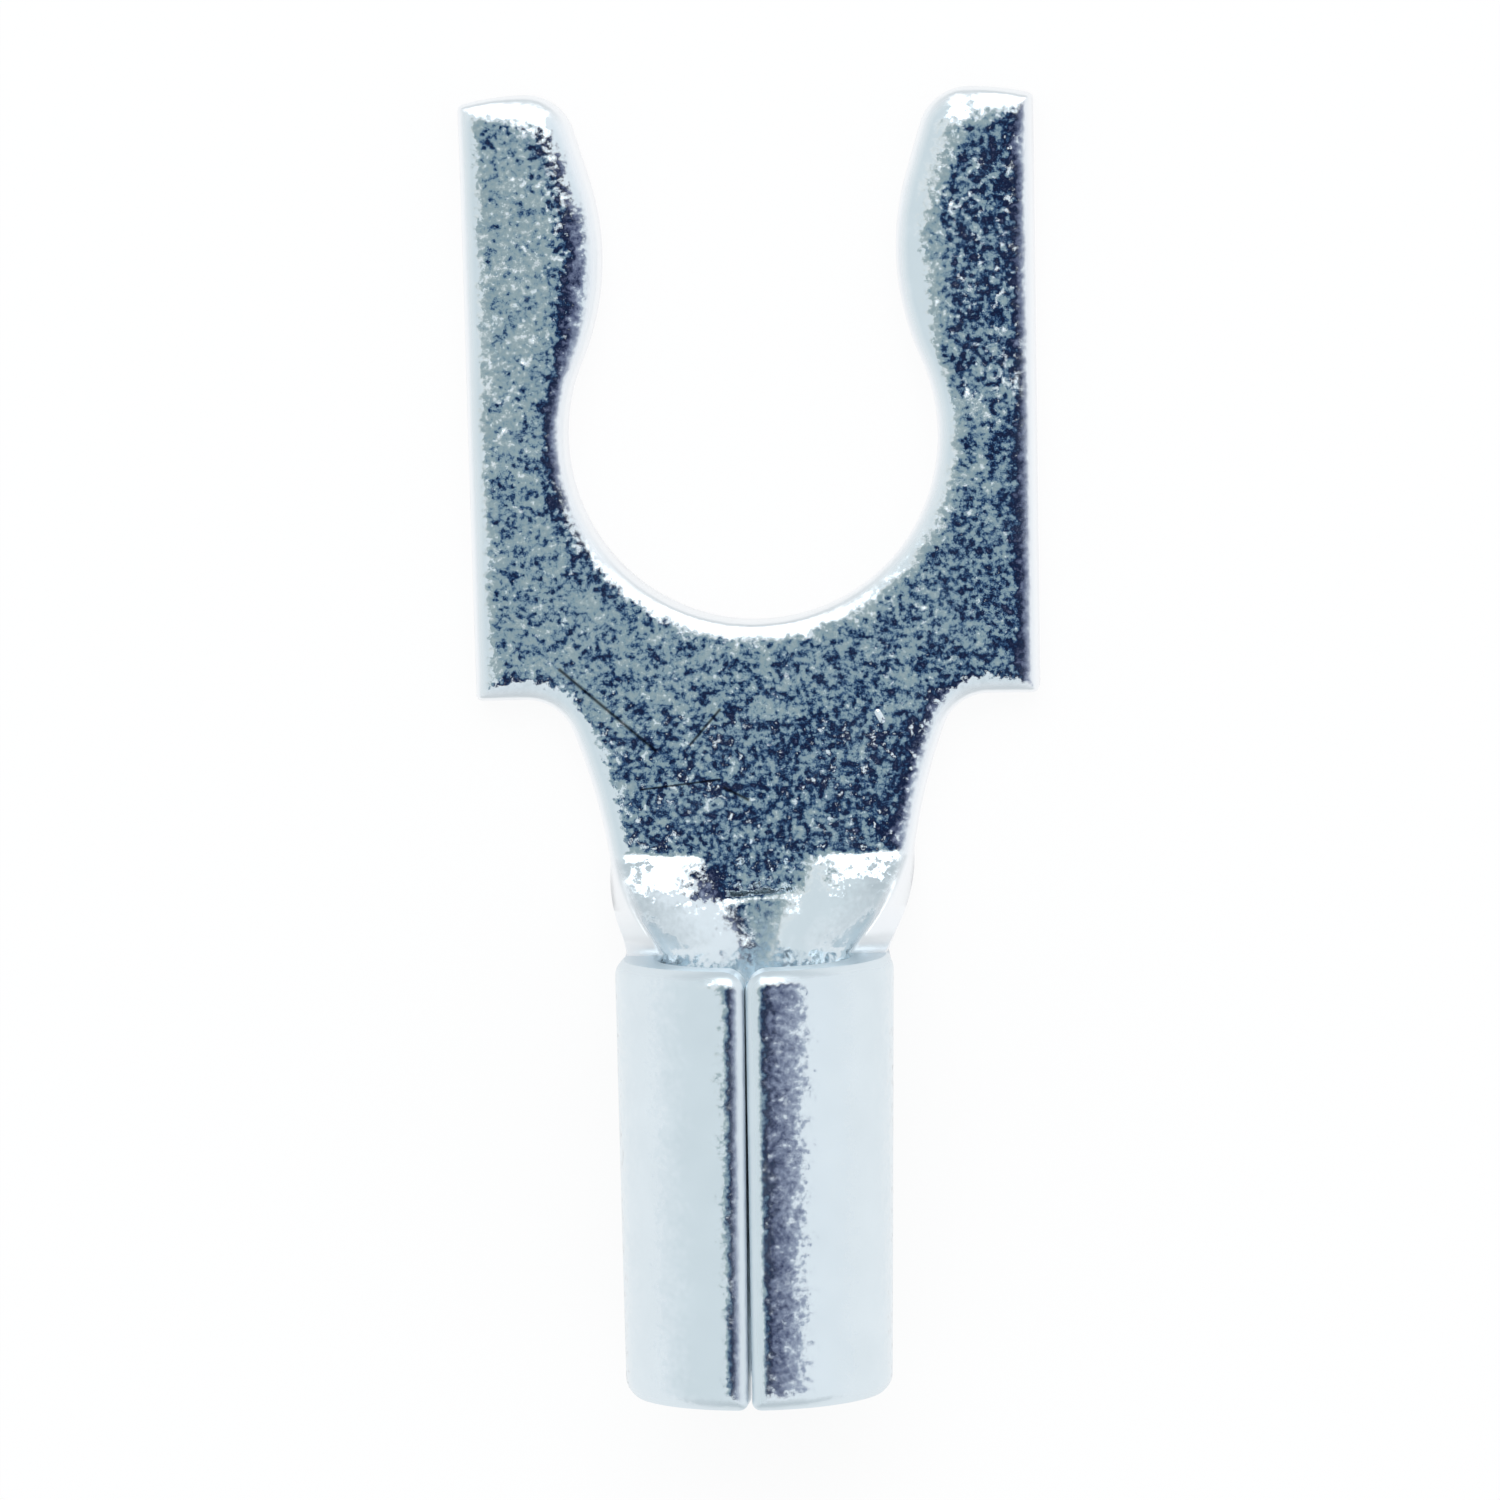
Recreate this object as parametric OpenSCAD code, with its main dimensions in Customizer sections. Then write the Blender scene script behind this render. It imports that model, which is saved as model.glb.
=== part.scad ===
// Bare fork terminal with a snap-in throat, stamped and rolled from one piece of tinned copper sheet.
// The tongue lies flat on z = 0, the tips point along +Y and the wire leaves the barrel along -Y.
// The origin is the centre of the stud slot, on the underside. All sizes are in millimetres.

/* [Sheet] */
// Thickness of the sheet
sheet_t = 0.7; // [0.5:0.05:0.9]
// Width of the soft edge that the stamping die rolls onto the upper face
edge_roll = 0.14; // [0.08:0.01:0.18]

/* [Stud slot] */
// Diameter of the round seat that holds the stud
slot_d = 5.25; // [4.9:0.05:5.6]
// Width of the throat between the two bulges that snap past the stud
throat_w = 4.17; // [3.9:0.01:4.6]
// Radius of the two bulges
bulge_r = 3.7; // [3:0.1:4.2]
// Angle at which each side of the mouth opens
mouth_angle = 17; // [10:1:20]
// Throat forward to the tips
mouth_depth = 2.28; // [2:0.02:3]

/* [Tongue] */
// Width across the shoulders
tongue_w = 7.96; // [7.4:0.02:9]
// Width across the tips, a little more than at the shoulders
tip_w = 8.08; // [7.6:0.02:9]
// Rounding of the inner corner of each tip
tip_r = 0.7; // [0.5:0.05:0.8]
// Radius of the gentle crown across the end of each tip
tip_crown_r = 3.5; // [2.5:0.1:5]
// Metal between the slot and the line of the shoulders
web_len = 1.06; // [0.8:0.02:1.6]

/* [Neck] */
// Width of the neck at its narrowest
neck_w = 4.1; // [3.7:0.05:4.4]
// Shoulders back to the line where the flat ends and the sides fold up
neck_len = 2.24; // [1.6:0.02:2.8]
// Radius of the sweep from the shoulders into the neck
neck_sweep_r = 8.6; // [7:0.1:10]
// Rounding of the inside corner under each shoulder
shoulder_r = 0.7; // [0.4:0.05:0.8]

/* [Trough] */
// Fold line back to the barrel
trough_len = 1.28; // [0.9:0.02:1.7]
// Width of the flat floor at the fold line
trough_floor_w = 0.6; // [0.4:0.1:1.2]
// Rounding of the corner where each wall runs into the barrel
relief_r = 0.25; // [0.1:0.05:0.4]

/* [Barrel] */
// Diameter of the wire bore
bore_d = 2.5; // [2.1:0.05:2.8]
// Length of the barrel
barrel_len = 6.15; // [4.5:0.05:8]
// Gap between the two wings at the butted seam
seam_gap = 0.07; // [0.04:0.01:0.12]
// Rounding of the wings along the seam
seam_roll = 0.16; // [0.1:0.01:0.25]
// Rounding of the four wing corners at the ends of the seam
wing_corner_r = 0.28; // [0.2:0.02:0.4]

/* [Hidden] */
$fn = 96;

// How far cutting shapes stand clear of the metal
clear = 0.3;
// How far two edges that meet smoothly run into each other
blend = 0.003;
// How far a rolled edge carries on past the place where two edges meet
lap = 0.1;
slot_r = slot_d / 2;
half_tongue = tongue_w / 2;

// Each bulge is an arc that meets the stud seat from outside and just reaches the throat
throat_reach = sqrt(pow(slot_r + bulge_r - blend, 2) - pow(throat_w / 2 + bulge_r, 2));
bulge_centre = [throat_w / 2 + bulge_r, throat_reach];
bulge_touch_angle = atan2(bulge_centre.y, bulge_centre.x);
bulge_touch = (slot_r - blend / 2) * [cos(bulge_touch_angle), sin(bulge_touch_angle)];

// The mouth runs straight on from each bulge and rounds over into the tip
tip_reach = throat_reach + mouth_depth;
mouth_along = [sin(mouth_angle), cos(mouth_angle)];
mouth_inward = [cos(mouth_angle), -sin(mouth_angle)];
mouth_start = bulge_centre - (bulge_r - blend) * mouth_inward;
mouth_len = (tip_reach - mouth_start.y - tip_r * (1 - sin(mouth_angle))) / cos(mouth_angle);
mouth_end = mouth_start + mouth_len * mouth_along;
tip_centre = mouth_end + tip_r * mouth_inward;
tip_corner = [tip_w / 2, tip_reach];
crown_centre = [tip_centre.x, tip_reach - tip_crown_r];

// The neck sweeps in from the shoulders and is narrowest where it meets the barrel
shoulder_y = -(slot_r + web_len);
shoulder_corner = [half_tongue, shoulder_y];
fold_y = shoulder_y - neck_len;
barrel_front = fold_y - trough_len;
sweep_centre = [neck_w / 2 + neck_sweep_r, barrel_front];
fillet_y = shoulder_y - shoulder_r;
fillet_centre = [
    sweep_centre.x - sqrt(pow(neck_sweep_r - shoulder_r, 2) - pow(fillet_y - sweep_centre.y, 2)),
    fillet_y
];
fillet_angle = atan2(fillet_centre.y - sweep_centre.y, fillet_centre.x - sweep_centre.x);
fillet_end = sweep_centre + neck_sweep_r * [cos(fillet_angle), sin(fillet_angle)];

// The rolled edge is an arc that meets the face and the side wall at a shallow angle
roll_set_in = 0.96;
roll_r = edge_roll / (roll_set_in - sqrt(1 - pow(roll_set_in, 2)));
roll_depth = roll_r * roll_set_in;
roll_middle = roll_depth - roll_r * cos(45);

barrel_r = bore_d / 2 + sheet_t;
barrel_middle_r = bore_d / 2 + sheet_t / 2;

// The trough is a loft: the flat sheet's section, curled a little more at each station
trough_stations = 16;
trough_steps = 14;
// Curl left at the fold line, as good as flat
least_curl = 0.001;
// The last two stations sit just inside the barrel's wall
seat_inset = 0.02;
seat_depth = 0.2;

// Outline of the mouth between the tines, from the stud seat out past the tips
module mouth_plan() {
    outer = mouth_start + (mouth_len + tip_r + clear) * mouth_along;
    difference() {
        polygon([
            [0, 0], bulge_touch, mouth_start, outer,
            [-outer.x, outer.y], [-mouth_start.x, mouth_start.y], [-bulge_touch.x, bulge_touch.y]
        ]);
        for (side = [-1, 1]) translate([side * bulge_centre.x, bulge_centre.y]) circle(bulge_r);
    }
}

// What is cut away outside the rounded inner corner of the right tip
module tip_corner_plan() {
    difference() {
        polygon([
            tip_centre, [tip_centre.x, tip_reach], [tip_centre.x, tip_reach + clear],
            mouth_end + [-tip_r, tip_r + clear], mouth_end - clear * mouth_inward, mouth_end
        ]);
        translate(tip_centre) circle(tip_r + blend);
    }
}

// What is cut away beyond the crown of the right tip
module tip_crown_plan() {
    difference() {
        translate([tip_centre.x - 2 * lap, tip_reach - clear])
            square([tip_w / 2 - tip_centre.x + 2 * lap + clear, 2 * clear]);
        translate(crown_centre) circle(tip_crown_r);
    }
}

// Metal that fills the inside corner under the right shoulder
module shoulder_fillet_plan() {
    inner_x = fillet_end.x - clear;
    difference() {
        polygon([
            [fillet_centre.x, shoulder_y], fillet_centre, fillet_end, [inner_x, fillet_end.y],
            [inner_x, shoulder_y + clear], [fillet_centre.x, shoulder_y + clear]
        ]);
        translate(fillet_centre) circle(shoulder_r + blend);
    }
}

// The open space beside the neck, under the right shoulder
module neck_side_plan() {
    difference() {
        intersection() {
            translate(sweep_centre) circle(neck_sweep_r);
            translate([0, fold_y - clear]) square([tongue_w, neck_len + clear]);
        }
        shoulder_fillet_plan();
    }
}

module tongue_plan() {
    difference() {
        polygon([
            [-half_tongue, fold_y], [half_tongue, fold_y], shoulder_corner, tip_corner,
            [-tip_corner.x, tip_corner.y], [-shoulder_corner.x, shoulder_corner.y]
        ]);
        circle(slot_r);
        mouth_plan();
        for (side = [0, 1]) {
            mirror([side, 0]) tip_corner_plan();
            mirror([side, 0]) tip_crown_plan();
            mirror([side, 0]) neck_side_plan();
        }
    }
}

// What the rolled edge takes off: x runs in from the edge, and the upper face is at y = 0
module roll_profile() {
    difference() {
        translate([-clear, -roll_depth]) square([clear + roll_depth, roll_depth + clear]);
        translate([roll_depth, -roll_depth]) circle(roll_r);
    }
}

// The angle that a length takes up on an arc
function lap_angle(r, length) = length / r * 180 / PI;

// The roll along a straight edge, with the metal on the left of the way from start to end
module straight_roll(start, end) {
    along = end - start;
    translate([start.x, start.y, sheet_t])
        rotate([0, 0, atan2(along.y, along.x)])
            rotate([90, 0, 90])
                linear_extrude(norm(along)) roll_profile();
}

// The roll along an arc, with the metal inside the arc's circle
module outer_arc_roll(centre, r, from, to) {
    translate([centre.x, centre.y, sheet_t])
        rotate([0, 0, from])
            rotate_extrude(angle = to - from)
                translate([r, 0]) mirror([1, 0]) roll_profile();
}

// The roll along an arc, with the metal outside the arc's circle
module inner_arc_roll(centre, r, from, to) {
    translate([centre.x, centre.y, sheet_t])
        rotate([0, 0, from])
            rotate_extrude(angle = to - from)
                translate([r, 0]) roll_profile();
}

// The rolled edges of the right half: down the outside, round the tip to the seat, and down the neck
edge_count = 9;
module right_edge_roll(edge) {
    past_corner = clear * (tip_corner - shoulder_corner) / norm(tip_corner - shoulder_corner);
    crown_start = acos((tip_corner.x + clear - crown_centre.x) / tip_crown_r);
    crown_end = 90 + lap_angle(tip_crown_r, 2 * lap);
    seat_end = bulge_touch_angle + lap_angle(slot_r, 2 * lap);
    bulge_start = 180 - mouth_angle - lap_angle(bulge_r, 2 * lap);
    sweep_start = fillet_angle - lap_angle(neck_sweep_r, lap);
    fold_angle = 180 - asin(trough_len / neck_sweep_r);
    if (edge == 1) straight_roll(shoulder_corner - past_corner, tip_corner + past_corner);
    if (edge == 2) outer_arc_roll(crown_centre, tip_crown_r, crown_start, crown_end);
    if (edge == 3) straight_roll([fillet_centre.x - lap, shoulder_y], [half_tongue + clear, shoulder_y]);
    if (edge == 4) inner_arc_roll([0, 0], slot_r, -90, seat_end);
    if (edge == 5) outer_arc_roll(bulge_centre, bulge_r, bulge_start, 180 + bulge_touch_angle);
    if (edge == 6) straight_roll(mouth_end + 2 * lap * mouth_along, mouth_start);
    if (edge == 7) outer_arc_roll(tip_centre, tip_r + blend, 90, 180 - mouth_angle);
    if (edge == 8) inner_arc_roll(fillet_centre, shoulder_r + blend, 90, fillet_angle);
    if (edge == 9) inner_arc_roll(sweep_centre, neck_sweep_r, sweep_start, fold_angle);
}

// The tongue with its first few edges rolled, on both halves
module tongue(edges) {
    if (edges == 0) linear_extrude(sheet_t) tongue_plan();
    else difference() {
        tongue(edges - 1);
        for (side = [0, 1]) mirror([side, 0, 0]) right_edge_roll(edges);
    }
}

// Half width of the blank along the trough, with the relief corner just before the barrel
function neck_half(y) = sweep_centre.x - sqrt(pow(neck_sweep_r, 2) - pow(y - sweep_centre.y, 2));
function relief(gap) = gap >= relief_r ? 0 : relief_r - sqrt(pow(relief_r, 2) - pow(relief_r - gap, 2));
function trough_half(y) = neck_half(y) + relief(y - barrel_front);

// Where each station lies, how much of its floor is still flat and how far its sides have curled
function station_share(k) = min(k / trough_stations, 1);
function station_y(k) =
    k > trough_stations ? barrel_front - seat_depth : fold_y - station_share(k) * trough_len;
function station_inset(k) = k < trough_stations ? 0 : seat_inset;
function station_floor(k) = trough_floor_w / 2 * (1 - station_share(k));
function station_curl(k) = max(station_share(k), least_curl) / barrel_middle_r;

// A point of the curled sheet: across is measured along the sheet, up from the middle of its thickness
function curled(across, up, floor_half, curl) =
    let (
        turn = max(abs(across) - floor_half, 0) * curl * 180 / PI,
        flat = min(abs(across), floor_half),
        r = 1 / curl - up
    )
    [sign(across) * (flat + r * sin(turn)), sheet_t / 2 + 1 / curl - r * cos(turn)];

// The sheet's section at a station: the underside from left to right, then back along the upper face
function station_section(k) =
    let (
        half = trough_half(max(station_y(k), barrel_front)),
        top_half = half - edge_roll,
        up = sheet_t / 2 - station_inset(k),
        outline = concat(
            [[-half, up - edge_roll]],
            [for (j = [-trough_steps : trough_steps]) [half * j / trough_steps, -up]],
            [[half, up - edge_roll], [half - roll_middle, up - roll_middle]],
            [for (j = [trough_steps : -1 : -trough_steps]) [top_half * j / trough_steps, up]],
            [[roll_middle - half, up - roll_middle]]
        )
    )
    [
        for (corner = outline)
            let (p = curled(corner.x, corner.y, station_floor(k), station_curl(k)))
                [p.x, station_y(k), p.y]
    ];

module trough() {
    last = trough_stations + 1;
    row = 2 * trough_steps + 3;
    ring = 2 * row;
    points = [for (k = [0 : last]) each station_section(k)];
    sides = [
        for (k = [0 : last - 1], j = [0 : ring - 1])
            let (
                a = k * ring + j,
                b = k * ring + (j + 1) % ring
            )
                each [[a, a + ring, b], [b, a + ring, b + ring]]
    ];
    caps = [
        for (j = [0 : row - 2])
            let (
                a = j,
                b = j + 1,
                c = ring - 2 - j,
                d = ring - 1 - j,
                end = last * ring
            )
                each [
                    [a, b, c], [a, c, d],
                    [end + a, end + c, end + b], [end + a, end + d, end + c]
                ]
    ];
    polyhedron(points, concat(sides, caps));
}

// The barrel's outer edge is rolled all round at the rear, and at the front only on the two wings
module barrel_wall() {
    wing_start = trough_half(barrel_front) / barrel_middle_r * 180 / PI - 90;
    translate([0, barrel_front, barrel_r])
        rotate([90, 0, 0])
            difference() {
                cylinder(r = barrel_r, h = barrel_len);
                translate([0, 0, -clear]) cylinder(d = bore_d, h = barrel_len + 2 * clear);
                translate([0, 0, barrel_len])
                    rotate_extrude() translate([barrel_r, 0]) rotate(-90) roll_profile();
                rotate([0, 0, wing_start])
                    rotate_extrude(angle = 180 - 2 * wing_start)
                        translate([barrel_r, 0]) mirror([0, 1]) rotate(-90) roll_profile();
            }
}

// Two arcs back to back, as wide as the seam between them and open towards +Y of the plan
module flared_gap_plan(r) {
    half = seam_gap / 2 + r;
    difference() {
        translate([-half, -r]) square([2 * half, r + clear]);
        for (side = [-1, 1]) translate([side * half, -r]) circle(r);
    }
}

// The butted seam: a thin gap, soft edges along it and rounded wing corners at both ends
module seam() {
    cut_len = barrel_len + 2 * clear;
    translate([0, barrel_front, barrel_r]) {
        translate([-seam_gap / 2, clear - cut_len, 0]) cube([seam_gap, cut_len, barrel_r + clear]);
        translate([0, clear, barrel_r])
            rotate([90, 0, 0])
                linear_extrude(cut_len) flared_gap_plan(seam_roll);
        for (end = [0, 1])
            translate([0, -end * barrel_len, 0])
                mirror([0, end, 0])
                    linear_extrude(barrel_r + clear) flared_gap_plan(wing_corner_r);
    }
}

module fork_terminal() {
    color("lightsteelblue") {
        tongue(edge_count);
        trough();
        difference() {
            barrel_wall();
            seam();
        }
    }
}

fork_terminal();
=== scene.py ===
# %% [markdown]
# A bare fork terminal, made the way the real one is made. A press stamps a flat blank out of tinned
# copper sheet, its die drags the edges of the upper face down a little, and a second tool rolls the
# rear half of the blank up into a barrel. The script follows the same order: blank, soft edges, roll,
# tin finish, light. It begins by loading the CAD model, which fixes the size and place of everything.

import math

import bpy
import numpy as np
from mathutils import Matrix, Vector
from mathutils.geometry import delaunay_2d_cdt
from mathutils.kdtree import KDTree


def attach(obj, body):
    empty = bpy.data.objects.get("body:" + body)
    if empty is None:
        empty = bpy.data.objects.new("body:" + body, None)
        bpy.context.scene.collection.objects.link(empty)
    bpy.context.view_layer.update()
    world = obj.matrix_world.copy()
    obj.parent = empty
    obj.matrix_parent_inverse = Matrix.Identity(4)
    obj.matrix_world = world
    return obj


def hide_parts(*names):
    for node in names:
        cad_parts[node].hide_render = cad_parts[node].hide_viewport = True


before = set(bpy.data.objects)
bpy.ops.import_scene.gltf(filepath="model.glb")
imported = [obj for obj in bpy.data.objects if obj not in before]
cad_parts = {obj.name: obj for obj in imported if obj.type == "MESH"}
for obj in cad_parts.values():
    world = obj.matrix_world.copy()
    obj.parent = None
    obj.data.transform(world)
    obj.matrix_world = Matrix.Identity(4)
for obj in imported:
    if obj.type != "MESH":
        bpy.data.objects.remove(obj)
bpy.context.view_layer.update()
MM = 0.001

# %% [markdown]
# The photograph looks almost straight down on the terminal, from a little towards the tips and a little
# to the right. A camera can be placed by eye, but here its angles were fitted to the outline, so the
# script builds the camera's own axes from those angles and hands Blender the finished matrix.

# %% Camera
IMAGE_SIDE = 1500
SENSOR = 36.0
PIXELS_PER_MM = 70.6
CAMERA_DISTANCE = 130.0
CAMERA_NEAR = 10.0
CAMERA_AIM = Vector((-0.158, -4.491, 0.0))
CAMERA_TILT = math.radians(5.35)
CAMERA_LEAN = math.radians(4.36)
CAMERA_ROLL = math.radians(-1.29)

camera = bpy.data.objects.new("camera", bpy.data.cameras.new("camera"))
camera.data.sensor_width = SENSOR
camera.data.lens = PIXELS_PER_MM * CAMERA_DISTANCE / IMAGE_SIDE * SENSOR
camera.data.clip_start = CAMERA_NEAR * MM
back = Vector((
    math.sin(CAMERA_LEAN),
    math.sin(CAMERA_TILT) * math.cos(CAMERA_LEAN),
    math.cos(CAMERA_TILT) * math.cos(CAMERA_LEAN),
))
level_right = Vector((0, 1, 0)).cross(back).normalized()
up = Matrix.Rotation(CAMERA_ROLL, 3, back) @ back.cross(level_right)
right = up.cross(back)
eye = (CAMERA_AIM + CAMERA_DISTANCE * back) * MM
camera.matrix_world = Matrix.Translation(eye) @ Matrix((right, up, back)).transposed().to_4x4()
bpy.context.scene.collection.objects.link(camera)
bpy.context.scene.camera = camera
print("lens", round(camera.data.lens, 1), "mm, eye at", [round(c, 4) for c in eye])

# %% [markdown]
# The blank is the flat piece of sheet before it is rolled. Its outline is made of straight runs and
# arcs only, as a die maker would draw it: the round stud seat, a bulge that narrows the throat, a mouth
# that opens to the crowned tips, square shoulders, a neck that sweeps in, and two wings for the barrel.
# Drawing one half and mirroring it keeps the two sides alike. Sizes are in millimetres, as in the CAD.

# %% Two helpers for outlines
OUTLINE_STEP = 0.045
QUARTER = math.pi / 2


def arc(centre, radius, start, end):
    """Points along an arc, from one angle to another in radians."""
    count = max(3, math.ceil(radius * abs(end - start) / OUTLINE_STEP) + 1)
    angles = np.linspace(start, end, count)
    return [(centre[0] + radius * math.cos(a), centre[1] + radius * math.sin(a)) for a in angles]


def run(start, end):
    """Points along a straight edge, without its two ends."""
    count = max(2, math.ceil(math.dist(start, end) / OUTLINE_STEP) + 1)
    shares = np.linspace(0, 1, count)[1:-1]
    return [(start[0] + s * (end[0] - start[0]), start[1] + s * (end[1] - start[1])) for s in shares]


print("a quarter circle of 1 mm takes", len(arc((0, 0), 1.0, 0, QUARTER)), "points")

# %% Stud seat, throat and mouth
SEAT_R = 2.625
THROAT_HALF = 2.085
BULGE_R = 3.7
MOUTH_ANGLE = math.radians(17)
MOUTH_DEPTH = 2.27
TIP_R = 0.7

throat_y = math.sqrt((SEAT_R + BULGE_R) ** 2 - (THROAT_HALF + BULGE_R) ** 2)
bulge_centre = (THROAT_HALF + BULGE_R, throat_y)
touch = math.atan2(bulge_centre[1], bulge_centre[0])
tip_y = throat_y + MOUTH_DEPTH
seat = arc((0, 0), SEAT_R, -QUARTER, touch)
bulge = arc(bulge_centre, BULGE_R, math.pi + touch, math.pi - MOUTH_ANGLE)
mouth_start = bulge[-1]
mouth_len = (tip_y - mouth_start[1] - TIP_R * (1 - math.sin(MOUTH_ANGLE))) / math.cos(MOUTH_ANGLE)
tip_centre = (
    mouth_start[0] + mouth_len * math.sin(MOUTH_ANGLE) + TIP_R * math.cos(MOUTH_ANGLE),
    tip_y - TIP_R,
)
print("throat at", round(throat_y, 3), "tips at", round(tip_y, 3))

# %% Tip, outer edge and shoulder
TIP_HALF = 4.035
CROWN_R = 3.5
SHOULDER_HALF = 3.975
SHOULDER_Y = -3.685
CORNER_R = 0.09

tip = arc(tip_centre, TIP_R, math.pi - MOUTH_ANGLE, QUARTER)
crown_centre = (tip_centre[0], tip_y - CROWN_R)
corner_x = TIP_HALF - CORNER_R
corner_y = crown_centre[1] + math.sqrt((CROWN_R - CORNER_R) ** 2 - (corner_x - crown_centre[0]) ** 2)
crown_end = math.atan2(corner_y - crown_centre[1], corner_x - crown_centre[0])
crown = arc(crown_centre, CROWN_R, QUARTER, crown_end)
tip_corner = arc((corner_x, corner_y), CORNER_R, crown_end, 0)
shoulder_corner = arc((SHOULDER_HALF - CORNER_R, SHOULDER_Y + CORNER_R), CORNER_R, 0, -QUARTER)
fork_half = (
    seat + bulge[1:] + run(mouth_start, tip[0]) + tip + crown[1:] + tip_corner[1:]
    + run(tip_corner[-1], shoulder_corner[0]) + shoulder_corner
)
print("half a fork", len(fork_half), "points")

# %% Neck and barrel wing
SHEET = 0.7
NECK_HALF = 2.05
NECK_SWEEP_R = 8.6
FILLET_R = 0.7
FOLD_Y = -5.925
BARREL_FRONT = -7.205
BARREL_REAR = -13.35
BARREL_R_FRONT = 1.952
BARREL_R_REAR = 1.87
RELIEF_R = 0.25
WING_CORNER_R = 0.28
REAR_CORNER_R = 0.12
SEAM_GAP = 0.04

sweep_centre = (NECK_HALF + NECK_SWEEP_R, BARREL_FRONT)
fillet_y = SHOULDER_Y - FILLET_R
fillet_x = sweep_centre[0] - math.sqrt((NECK_SWEEP_R - FILLET_R) ** 2 - (fillet_y - BARREL_FRONT) ** 2)
fillet_angle = math.atan2(fillet_y - BARREL_FRONT, fillet_x - sweep_centre[0])
sweep_end = math.pi - math.asin(RELIEF_R / NECK_SWEEP_R)
relief_x = sweep_centre[0] + NECK_SWEEP_R * math.cos(sweep_end) + RELIEF_R
wing_front = math.pi * (BARREL_R_FRONT - SHEET / 2) - SEAM_GAP / 2
wing_rear = math.pi * (BARREL_R_REAR - SHEET / 2) - SEAM_GAP / 2
print("wings reach", round(wing_front, 3), "in front and", round(wing_rear, 3), "behind")

# %% Whole outline
fillet = arc((fillet_x, fillet_y), FILLET_R, QUARTER, fillet_angle)
sweep = arc(sweep_centre, NECK_SWEEP_R, fillet_angle, sweep_end)
relief = arc((relief_x, BARREL_FRONT + RELIEF_R), RELIEF_R, math.pi, 3 * QUARTER)
front_corner = arc((wing_front - WING_CORNER_R, BARREL_FRONT - WING_CORNER_R), WING_CORNER_R, QUARTER, 0)
rear_corner = arc((wing_rear - REAR_CORNER_R, BARREL_REAR + REAR_CORNER_R), REAR_CORNER_R, 0, -QUARTER)
rear_middle = (0.0, BARREL_REAR)
wing_half = (
    run(shoulder_corner[-1], fillet[0]) + fillet + sweep[1:] + relief[1:]
    + run(relief[-1], front_corner[0]) + front_corner + run(front_corner[-1], rear_corner[0])
    + rear_corner + run(rear_corner[-1], rear_middle) + [rear_middle]
)
right_half = fork_half + wing_half
left_half = [(-x, y) for x, y in right_half[1:-1]]
outline = np.array(left_half + right_half[::-1])
print("outline", len(outline), "points")

# %% [markdown]
# A die leaves its mark on every edge: the upper face bends down gently over about half a sheet's
# thickness and then turns sharply into the sheared wall. A bevel would give every edge the same arc, so
# instead the height of the sheet is worked out at each point from its distance to the outline. Rings of
# points near the edges carry that shape, a fine grid carries the folds of the trough, and a coarser
# grid fills the flat parts and the barrel.

# %% Distance to the edge
after = np.roll(outline, -1, axis=0)
along = after - np.roll(outline, 1, axis=0)
inward = np.stack([-along[:, 1], along[:, 0]], axis=1) / np.linalg.norm(along, axis=1, keepdims=True)
outline_tree = KDTree(len(outline))
for index, (x, y) in enumerate(outline):
    outline_tree.insert((x, y, 0), index)
outline_tree.balance()


def edge_distance(x, y):
    """Distance from a point of the blank to its outline."""
    nearest = outline_tree.find((x, y, 0))[1]
    best = math.inf
    for start in (nearest - 1, nearest):
        a, b = outline[start], after[start]
        share = np.clip(np.dot((x, y) - a, b - a) / np.dot(b - a, b - a), 0, 1)
        best = min(best, float(np.linalg.norm((x, y) - a - share * (b - a))))
    return best


def on_metal(x, y):
    """Whether a point is on the blank, by counting the outline's crossings."""
    crosses = (outline[:, 1] > y) != (after[:, 1] > y)
    a, b = outline[crosses], after[crosses]
    crossing_x = a[:, 0] + (y - a[:, 1]) / (b[:, 1] - a[:, 1]) * (b[:, 0] - a[:, 0])
    return int(np.sum(crossing_x > x)) % 2 == 1


print("seat's middle on metal:", on_metal(0, 0), "neck on metal:", on_metal(0, FOLD_Y))

# %% Points of the blank
RING_DEPTHS = (0.006, 0.02, 0.045, 0.08, 0.125, 0.18, 0.25, 0.34, 0.45)
COARSE_STEP = 0.11
FINE_STEP = 0.045
FINE_MARGIN = 0.15
RING_KEEP = 0.96
GRID_CLEAR = 0.6
THIN_FROM = 0.125
THIN_SKIP = 2


def ring(depth):
    """Points at one distance inside the outline, thinned where the ring is far from it."""
    skip = 1 if depth < THIN_FROM else THIN_SKIP
    candidates = outline[::skip] + depth * inward[::skip]
    return [Vector(p) for p in candidates if edge_distance(*p) > RING_KEEP * depth]


def grid(rear, front, step):
    """A square grid of points between two lines across the blank, clear of the rings."""
    clear = RING_DEPTHS[-1] + GRID_CLEAR * step
    across = np.arange(-wing_front, wing_front, step)
    places = [(x, y) for x in across for y in np.arange(rear, front, step)]
    return [Vector((x, y)) for x, y in places if on_metal(x, y) and edge_distance(x, y) > clear]


points = [Vector(p) for p in outline]
for depth in RING_DEPTHS:
    points += ring(depth)
fine_front = FOLD_Y + FINE_MARGIN
fine_rear = BARREL_FRONT - FINE_MARGIN
points += grid(BARREL_REAR, fine_rear, COARSE_STEP)
points += grid(fine_rear, fine_front, FINE_STEP)
points += grid(fine_front, tip_y, COARSE_STEP)
print("points", len(points))

# %% Triangles of the blank
INSIDE_ONLY = 1
MERGE_DISTANCE = 1e-6

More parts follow.
